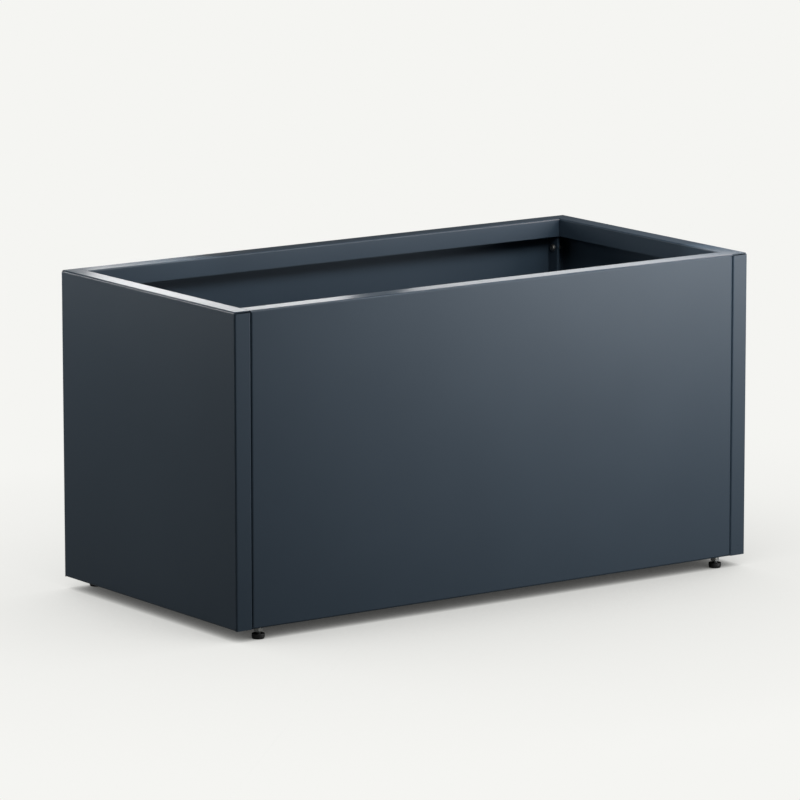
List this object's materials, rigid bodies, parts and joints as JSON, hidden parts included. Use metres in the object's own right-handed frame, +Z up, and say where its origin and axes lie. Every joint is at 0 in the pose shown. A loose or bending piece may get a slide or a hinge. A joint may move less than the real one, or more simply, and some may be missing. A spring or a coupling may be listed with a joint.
{
  "type": "metal planter",
  "caption": "Rectangular floor planter of folded, dark grey powder-coated sheet steel with an inward rim, bolted corner seams, drained base tray and levelling feet.",
  "frame": {"origin": "on the floor, under the middle of the planter", "axes": "+X along the length, +Y from the front to the rear, +Z up"},
  "size_m": [1, 0.5, 0.519],
  "materials": {
    "powder_coat": "satin anthracite powder coat, fine orange peel",
    "galvanised_sheet": "hot-dip galvanised sheet with a fine spangle",
    "zinc_plate": "bright zinc plate",
    "black_nylon": "moulded black nylon"
  },
  "bodies": {
    "planter": {"front_panel": "powder_coat", "rear_panel": "powder_coat", "left_end_panel": "powder_coat", "right_end_panel": "powder_coat", "base_tray": "powder_coat", "base_bearer_left": "galvanised_sheet", "base_bearer_right": "galvanised_sheet", "seam_screws_front_left": "zinc_plate", "seam_nuts_front_left": "zinc_plate", "foot_lock_nut_front_left": "zinc_plate", "foot_rivet_nut_front_left": "zinc_plate", "seam_screws_front_right": "zinc_plate", "seam_nuts_front_right": "zinc_plate", "foot_lock_nut_front_right": "zinc_plate", "foot_rivet_nut_front_right": "zinc_plate", "seam_screws_rear_left": "zinc_plate", "seam_nuts_rear_left": "zinc_plate", "foot_lock_nut_rear_left": "zinc_plate", "foot_rivet_nut_rear_left": "zinc_plate", "seam_screws_rear_right": "zinc_plate", "seam_nuts_rear_right": "zinc_plate", "foot_lock_nut_rear_right": "zinc_plate", "foot_rivet_nut_rear_right": "zinc_plate"},
    "pad_front_left": {"foot_pad_front_left": "black_nylon"},
    "stud_front_left": {"foot_stud_front_left": "zinc_plate"},
    "pad_front_right": {"foot_pad_front_right": "black_nylon"},
    "stud_front_right": {"foot_stud_front_right": "zinc_plate"},
    "pad_rear_left": {"foot_pad_rear_left": "black_nylon"},
    "stud_rear_left": {"foot_stud_rear_left": "zinc_plate"},
    "pad_rear_right": {"foot_pad_rear_right": "black_nylon"},
    "stud_rear_right": {"foot_stud_rear_right": "zinc_plate"}
  },
  "joints": [
    {"name": "foot_height_front_left", "type": "slide", "parent": "planter", "child": "pad_front_left", "axis": [0, 0, -1], "range_m": [-0.0025, 0.012]},
    {"name": "stud_turn_front_left", "type": "hinge", "parent": "pad_front_left", "child": "stud_front_left", "pos_m": [-0.45, -0.235, 0.0085], "axis": [0, 0, -1], "range_deg": [-722, 3458]},
    {"name": "foot_height_front_right", "type": "slide", "parent": "planter", "child": "pad_front_right", "axis": [0, 0, -1], "range_m": [-0.0025, 0.012]},
    {"name": "stud_turn_front_right", "type": "hinge", "parent": "pad_front_right", "child": "stud_front_right", "pos_m": [0.45, -0.235, 0.0085], "axis": [0, 0, -1], "range_deg": [-722, 3458]},
    {"name": "foot_height_rear_left", "type": "slide", "parent": "planter", "child": "pad_rear_left", "axis": [0, 0, -1], "range_m": [-0.0025, 0.012]},
    {"name": "stud_turn_rear_left", "type": "hinge", "parent": "pad_rear_left", "child": "stud_rear_left", "pos_m": [-0.45, 0.235, 0.0085], "axis": [0, 0, -1], "range_deg": [-722, 3458]},
    {"name": "foot_height_rear_right", "type": "slide", "parent": "planter", "child": "pad_rear_right", "axis": [0, 0, -1], "range_m": [-0.0025, 0.012]},
    {"name": "stud_turn_rear_right", "type": "hinge", "parent": "pad_rear_right", "child": "stud_rear_right", "pos_m": [0.45, 0.235, 0.0085], "axis": [0, 0, -1], "range_deg": [-722, 3458]}
  ],
  "couplings": [
    {"joint": "stud_turn_front_left", "follows": "foot_height_front_left", "rad_per_m": 5026.5},
    {"joint": "stud_turn_front_right", "follows": "foot_height_front_right", "rad_per_m": 5026.5},
    {"joint": "stud_turn_rear_left", "follows": "foot_height_rear_left", "rad_per_m": 5026.5},
    {"joint": "stud_turn_rear_right", "follows": "foot_height_rear_right", "rad_per_m": 5026.5}
  ]
}
